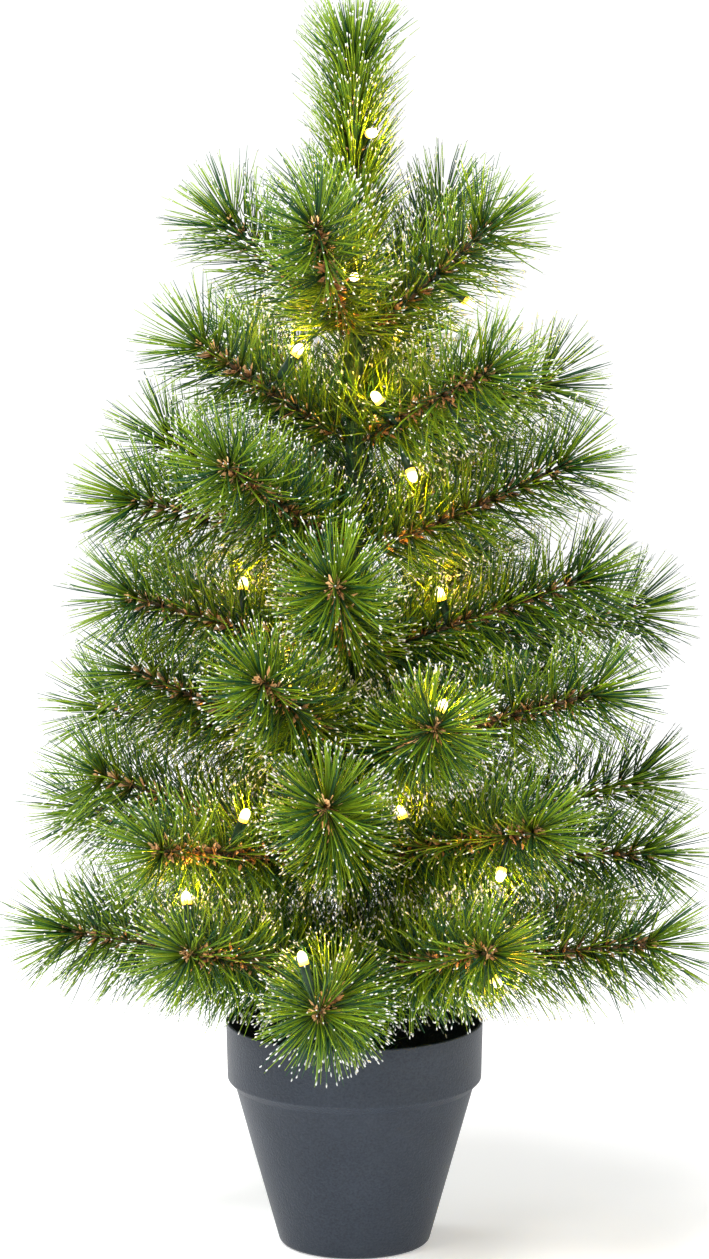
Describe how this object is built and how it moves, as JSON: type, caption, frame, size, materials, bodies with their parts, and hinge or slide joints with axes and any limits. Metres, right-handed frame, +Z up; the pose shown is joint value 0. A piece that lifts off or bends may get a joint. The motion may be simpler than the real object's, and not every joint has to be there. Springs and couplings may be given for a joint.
{
  "type": "artificial tabletop tree",
  "caption": "Artificial tabletop pine with bendable frosted-needle branches and a battery light string, in a plastic pot.",
  "frame": {"origin": "middle of the pot's base, on the surface that it stands on", "axes": "+Z up the trunk, -Y the front, +X to the right seen from the front"},
  "size_m": [0.4813, 0.4643, 0.8963],
  "materials": {
    "pot_plastic": "fine-grained anthracite moulded plastic",
    "cement": "cast cement, rough",
    "rod_steel": "drawn steel rod",
    "trunk_tape": "dark green tape wound round the trunk",
    "pine_needles": "green needles with white frosted tips",
    "lead_insulation": "thin dark green cable",
    "box_plastic": "black moulded plastic",
    "cell_jacket": "plain metal jacket",
    "switch_plastic": "light grey plastic",
    "branch_wire": "green twisted wire",
    "frost": "white frosting on the needle tips",
    "bract_paper": "brown papery scales along the wires",
    "lamp_socket": "dark green lamp socket",
    "lamp_lens": "clear lamp, lit warm white"
  },
  "bodies": {
    "stand": {"pot": "pot_plastic", "ballast": "cement", "trunk_rod": "rod_steel", "trunk_wrap": "trunk_tape", "light_lead": "lead_insulation", "battery_box": "box_plastic", "battery_cell_1": "cell_jacket", "battery_cell_2": "cell_jacket"},
    "battery_cover": {"battery_cover": "box_plastic"},
    "switch_slider": {"switch_slider": "switch_plastic"},
    "leader": {"leader": "pine_needles"},
    "branch_1_a": {"branch_1_a": "pine_needles"},
    "branch_1_b": {"branch_1_b": "pine_needles"},
    "branch_1_c": {"branch_1_c": "pine_needles"},
    "branch_1_d": {"branch_1_d": "pine_needles"},
    "branch_1_e": {"branch_1_e": "pine_needles"},
    "branch_2_a": {"branch_2_a": "pine_needles"},
    "branch_2_b": {"branch_2_b": "pine_needles"},
    "branch_2_c": {"branch_2_c": "pine_needles"},
    "branch_2_d": {"branch_2_d": "pine_needles"},
    "branch_2_e": {"branch_2_e": "pine_needles"},
    "branch_3_a": {"branch_3_a": "pine_needles"},
    "branch_3_b": {"branch_3_b": "pine_needles"},
    "branch_3_c": {"branch_3_c": "pine_needles"},
    "branch_3_d": {"branch_3_d": "pine_needles"},
    "branch_3_e": {"branch_3_e": "pine_needles"},
    "branch_3_f": {"branch_3_f": "pine_needles"},
    "branch_4_a": {"branch_4_a": "pine_needles"},
    "branch_4_b": {"branch_4_b": "pine_needles"},
    "branch_4_c": {"branch_4_c": "pine_needles"},
    "branch_4_d": {"branch_4_d": "pine_needles"},
    "branch_4_e": {"branch_4_e": "pine_needles"},
    "branch_4_f": {"branch_4_f": "pine_needles"},
    "branch_4_g": {"branch_4_g": "pine_needles"},
    "branch_5_a": {"branch_5_a": "pine_needles"},
    "branch_5_b": {"branch_5_b": "pine_needles"},
    "branch_5_c": {"branch_5_c": "pine_needles"},
    "branch_5_d": {"branch_5_d": "pine_needles"},
    "branch_5_e": {"branch_5_e": "pine_needles"},
    "branch_5_f": {"branch_5_f": "pine_needles"},
    "branch_5_g": {"branch_5_g": "pine_needles"},
    "branch_5_h": {"branch_5_h": "pine_needles"},
    "branch_6_a": {"branch_6_a": "pine_needles"},
    "branch_6_b": {"branch_6_b": "pine_needles"},
    "branch_6_c": {"branch_6_c": "pine_needles"},
    "branch_6_d": {"branch_6_d": "pine_needles"},
    "branch_6_e": {"branch_6_e": "pine_needles"},
    "branch_6_f": {"branch_6_f": "pine_needles"},
    "branch_6_g": {"branch_6_g": "pine_needles"},
    "branch_6_h": {"branch_6_h": "pine_needles"},
    "branch_6_i": {"branch_6_i": "pine_needles"},
    "branch_7_a": {"branch_7_a": "pine_needles"},
    "branch_7_b": {"branch_7_b": "pine_needles"},
    "branch_7_c": {"branch_7_c": "pine_needles"},
    "branch_7_d": {"branch_7_d": "pine_needles"},
    "branch_7_e": {"branch_7_e": "pine_needles"},
    "branch_7_f": {"branch_7_f": "pine_needles"},
    "branch_7_g": {"branch_7_g": "pine_needles"},
    "branch_7_h": {"branch_7_h": "pine_needles"},
    "branch_7_i": {"branch_7_i": "pine_needles"}
  },
  "joints": [
    {"name": "leader_bend", "type": "hinge", "parent": "stand", "child": "leader", "pos_m": [0, 0, 0.6923], "axis": [1, 0, 0], "range_deg": [-20, 20]},
    {"name": "battery_cover_slide", "type": "slide", "parent": "stand", "child": "battery_cover", "axis": [1, 0, 0], "range_m": [0, 0.012]},
    {"name": "switch_slide", "type": "slide", "parent": "stand", "child": "switch_slider", "axis": [0, 1, 0], "range_m": [0, 0.0032]},
    {"name": "branch_1_a_bend", "type": "hinge", "parent": "stand", "child": "branch_1_a", "pos_m": [-0.00229, -0.00798, 0.6655], "axis": [-0.9613, 0.2756, 0], "range_deg": [-15, 25]},
    {"name": "branch_1_b_bend", "type": "hinge", "parent": "stand", "child": "branch_1_b", "pos_m": [0.00775, -0.00297, 0.6655], "axis": [-0.3584, -0.9336, 0], "range_deg": [-15, 25]},
    {"name": "branch_1_c_bend", "type": "hinge", "parent": "stand", "child": "branch_1_c", "pos_m": [0.00577, 0.00597, 0.6655], "axis": [0.7193, -0.6947, 0], "range_deg": [-15, 25]},
    {"name": "branch_1_d_bend", "type": "hinge", "parent": "stand", "child": "branch_1_d", "pos_m": [-0.00187, 0.00809, 0.6655], "axis": [0.9744, 0.225, 0], "range_deg": [-15, 25]},
    {"name": "branch_1_e_bend", "type": "hinge", "parent": "stand", "child": "branch_1_e", "pos_m": [-0.00802, 0.00215, 0.6655], "axis": [0.2588, 0.9659, 0], "range_deg": [-15, 25]},
    {"name": "branch_2_a_bend", "type": "hinge", "parent": "stand", "child": "branch_2_a", "pos_m": [-0.00719, -0.00415, 0.5905], "axis": [-0.5, 0.866, 0], "range_deg": [-15, 40]},
    {"name": "branch_2_b_bend", "type": "hinge", "parent": "stand", "child": "branch_2_b", "pos_m": [0.00597, -0.00577, 0.5905], "axis": [-0.6947, -0.7193, 0], "range_deg": [-15, 45]},
    {"name": "branch_2_c_bend", "type": "hinge", "parent": "stand", "child": "branch_2_c", "pos_m": [0.00798, 0.00229, 0.5905], "axis": [0.2756, -0.9613, 0], "range_deg": [-15, 60]},
    {"name": "branch_2_d_bend", "type": "hinge", "parent": "stand", "child": "branch_2_d", "pos_m": [0.00215, 0.00802, 0.5905], "axis": [0.9659, -0.2588, 0], "range_deg": [-15, 45]},
    {"name": "branch_2_e_bend", "type": "hinge", "parent": "stand", "child": "branch_2_e", "pos_m": [-0.00511, 0.00654, 0.5905], "axis": [0.788, 0.6157, 0], "range_deg": [-15, 45]},
    {"name": "branch_3_a_bend", "type": "hinge", "parent": "stand", "child": "branch_3_a", "pos_m": [-0.0077, -0.00311, 0.5105], "axis": [-0.3746, 0.9272, 0], "range_deg": [-15, 40]},
    {"name": "branch_3_b_bend", "type": "hinge", "parent": "stand", "child": "branch_3_b", "pos_m": [-0.005, -0.00663, 0.5105], "axis": [-0.7986, 0.6018, 0], "range_deg": [-15, 45]},
    {"name": "branch_3_c_bend", "type": "hinge", "parent": "stand", "child": "branch_3_c", "pos_m": [0.00789, -0.00257, 0.5105], "axis": [-0.309, -0.9511, 0], "range_deg": [-15, 45]},
    {"name": "branch_3_d_bend", "type": "hinge", "parent": "stand", "child": "branch_3_d", "pos_m": [0.00534, 0.00636, 0.5105], "axis": [0.766, -0.6428, 0], "range_deg": [-15, 50]},
    {"name": "branch_3_e_bend", "type": "hinge", "parent": "stand", "child": "branch_3_e", "pos_m": [-0.00173, 0.00812, 0.5105], "axis": [0.9781, 0.2079, 0], "range_deg": [-15, 50]},
    {"name": "branch_3_f_bend", "type": "hinge", "parent": "stand", "child": "branch_3_f", "pos_m": [-0.00746, 0.00364, 0.5105], "axis": [0.4384, 0.8988, 0], "range_deg": [-15, 45]},
    {"name": "branch_4_a_bend", "type": "hinge", "parent": "stand", "child": "branch_4_a", "pos_m": [-0.00733, -0.0039, 0.4355], "axis": [-0.4695, 0.8829, 0], "range_deg": [-15, 20]},
    {"name": "branch_4_b_bend", "type": "hinge", "parent": "stand", "child": "branch_4_b", "pos_m": [-0.00072, -0.00827, 0.4355], "axis": [-0.9962, 0.0872, 0], "range_deg": [-15, 45]},
    {"name": "branch_4_c_bend", "type": "hinge", "parent": "stand", "child": "branch_4_c", "pos_m": [0.00802, -0.00215, 0.4355], "axis": [-0.2588, -0.9659, 0], "range_deg": [-15, 20]},
    {"name": "branch_4_d_bend", "type": "hinge", "parent": "stand", "child": "branch_4_d", "pos_m": [0.00798, 0.00229, 0.4355], "axis": [0.2756, -0.9613, 0], "range_deg": [-15, 45]},
    {"name": "branch_4_e_bend", "type": "hinge", "parent": "stand", "child": "branch_4_e", "pos_m": [0.00415, 0.00719, 0.4355], "axis": [0.866, -0.5, 0], "range_deg": [-15, 35]},
    {"name": "branch_4_f_bend", "type": "hinge", "parent": "stand", "child": "branch_4_f", "pos_m": [-0.00257, 0.00789, 0.4355], "axis": [0.9511, 0.309, 0], "range_deg": [-15, 30]},
    {"name": "branch_4_g_bend", "type": "hinge", "parent": "stand", "child": "branch_4_g", "pos_m": [-0.00671, 0.00488, 0.4355], "axis": [0.5878, 0.809, 0], "range_deg": [-15, 40]},
    {"name": "branch_5_a_bend", "type": "hinge", "parent": "stand", "child": "branch_5_a", "pos_m": [-0.00764, -0.00324, 0.3605], "axis": [-0.3907, 0.9205, 0], "range_deg": [-15, 15]},
    {"name": "branch_5_b_bend", "type": "hinge", "parent": "stand", "child": "branch_5_b", "pos_m": [-0.00311, -0.0077, 0.3605], "axis": [-0.9272, 0.3746, 0], "range_deg": [-15, 45]},
    {"name": "branch_5_c_bend", "type": "hinge", "parent": "stand", "child": "branch_5_c", "pos_m": [0.00257, -0.00789, 0.3605], "axis": [-0.9511, -0.309, 0], "range_deg": [-15, 55]},
    {"name": "branch_5_d_bend", "type": "hinge", "parent": "stand", "child": "branch_5_d", "pos_m": [0.00711, -0.00428, 0.3605], "axis": [-0.515, -0.8572, 0], "range_deg": [-15, 50]},
    {"name": "branch_5_e_bend", "type": "hinge", "parent": "stand", "child": "branch_5_e", "pos_m": [0.00617, 0.00555, 0.3605], "axis": [0.6691, -0.7431, 0], "range_deg": [-15, 50]},
    {"name": "branch_5_f_bend", "type": "hinge", "parent": "stand", "child": "branch_5_f", "pos_m": [0.00144, 0.00817, 0.3605], "axis": [0.9848, -0.1736, 0], "range_deg": [-15, 60]},
    {"name": "branch_5_g_bend", "type": "hinge", "parent": "stand", "child": "branch_5_g", "pos_m": [-0.0044, 0.00704, 0.3605], "axis": [0.848, 0.5299, 0], "range_deg": [-15, 50]},
    {"name": "branch_5_h_bend", "type": "hinge", "parent": "stand", "child": "branch_5_h", "pos_m": [-0.00822, 0.00115, 0.3605], "axis": [0.1392, 0.9903, 0], "range_deg": [-15, 65]},
    {"name": "branch_6_a_bend", "type": "hinge", "parent": "stand", "child": "branch_6_a", "pos_m": [-0.0078, -0.00284, 0.2855], "axis": [-0.342, 0.9397, 0], "range_deg": [-15, 20]},
    {"name": "branch_6_b_bend", "type": "hinge", "parent": "stand", "child": "branch_6_b", "pos_m": [-0.00534, -0.00636, 0.2855], "axis": [-0.766, 0.6428, 0], "range_deg": [-15, 60]},
    {"name": "branch_6_c_bend", "type": "hinge", "parent": "stand", "child": "branch_6_c", "pos_m": [-0.00087, -0.00826, 0.2855], "axis": [-0.9945, 0.1045, 0], "range_deg": [-15, 35]},
    {"name": "branch_6_d_bend", "type": "hinge", "parent": "stand", "child": "branch_6_d", "pos_m": [0.00534, -0.00636, 0.2855], "axis": [-0.766, -0.6428, 0], "range_deg": [-15, 60]},
    {"name": "branch_6_e_bend", "type": "hinge", "parent": "stand", "child": "branch_6_e", "pos_m": [0.00805, -0.00201, 0.2855], "axis": [-0.2419, -0.9703, 0], "range_deg": [-15, 45]},
    {"name": "branch_6_f_bend", "type": "hinge", "parent": "stand", "child": "branch_6_f", "pos_m": [0.00794, 0.00243, 0.2855], "axis": [0.2924, -0.9563, 0], "range_deg": [-15, 25]},
    {"name": "branch_6_g_bend", "type": "hinge", "parent": "stand", "child": "branch_6_g", "pos_m": [0.00452, 0.00696, 0.2855], "axis": [0.8387, -0.5446, 0], "range_deg": [-15, 40]},
    {"name": "branch_6_h_bend", "type": "hinge", "parent": "stand", "child": "branch_6_h", "pos_m": [-0.00257, 0.00789, 0.2855], "axis": [0.9511, 0.309, 0], "range_deg": [-15, 40]},
    {"name": "branch_6_i_bend", "type": "hinge", "parent": "stand", "child": "branch_6_i", "pos_m": [-0.00805, 0.00201, 0.2855], "axis": [0.2419, 0.9703, 0], "range_deg": [-15, 25]},
    {"name": "branch_7_a_bend", "type": "hinge", "parent": "stand", "child": "branch_7_a", "pos_m": [-0.00794, -0.00243, 0.2055], "axis": [-0.2924, 0.9563, 0], "range_deg": [-15, 25]},
    {"name": "branch_7_b_bend", "type": "hinge", "parent": "stand", "child": "branch_7_b", "pos_m": [-0.00452, -0.00696, 0.2055], "axis": [-0.8387, 0.5446, 0], "range_deg": [-15, 25]},
    {"name": "branch_7_c_bend", "type": "hinge", "parent": "stand", "child": "branch_7_c", "pos_m": [-0.00101, -0.00824, 0.2055], "axis": [-0.9925, 0.1219, 0], "range_deg": [-15, 35]},
    {"name": "branch_7_d_bend", "type": "hinge", "parent": "stand", "child": "branch_7_d", "pos_m": [0.0039, -0.00733, 0.2055], "axis": [-0.8829, -0.4695, 0], "range_deg": [-15, 45]},
    {"name": "branch_7_e_bend", "type": "hinge", "parent": "stand", "child": "branch_7_e", "pos_m": [0.00752, -0.00351, 0.2055], "axis": [-0.4226, -0.9063, 0], "range_deg": [-15, 50]},
    {"name": "branch_7_f_bend", "type": "hinge", "parent": "stand", "child": "branch_7_f", "pos_m": [0.00696, 0.00452, 0.2055], "axis": [0.5446, -0.8387, 0], "range_deg": [-15, 60]},
    {"name": "branch_7_g_bend", "type": "hinge", "parent": "stand", "child": "branch_7_g", "pos_m": [0.00257, 0.00789, 0.2055], "axis": [0.9511, -0.309, 0], "range_deg": [-15, 60]},
    {"name": "branch_7_h_bend", "type": "hinge", "parent": "stand", "child": "branch_7_h", "pos_m": [-0.0044, 0.00704, 0.2055], "axis": [0.848, 0.5299, 0], "range_deg": [-15, 45]},
    {"name": "branch_7_i_bend", "type": "hinge", "parent": "stand", "child": "branch_7_i", "pos_m": [-0.00739, 0.00377, 0.2055], "axis": [0.454, 0.891, 0], "range_deg": [-15, 60]}
  ]
}
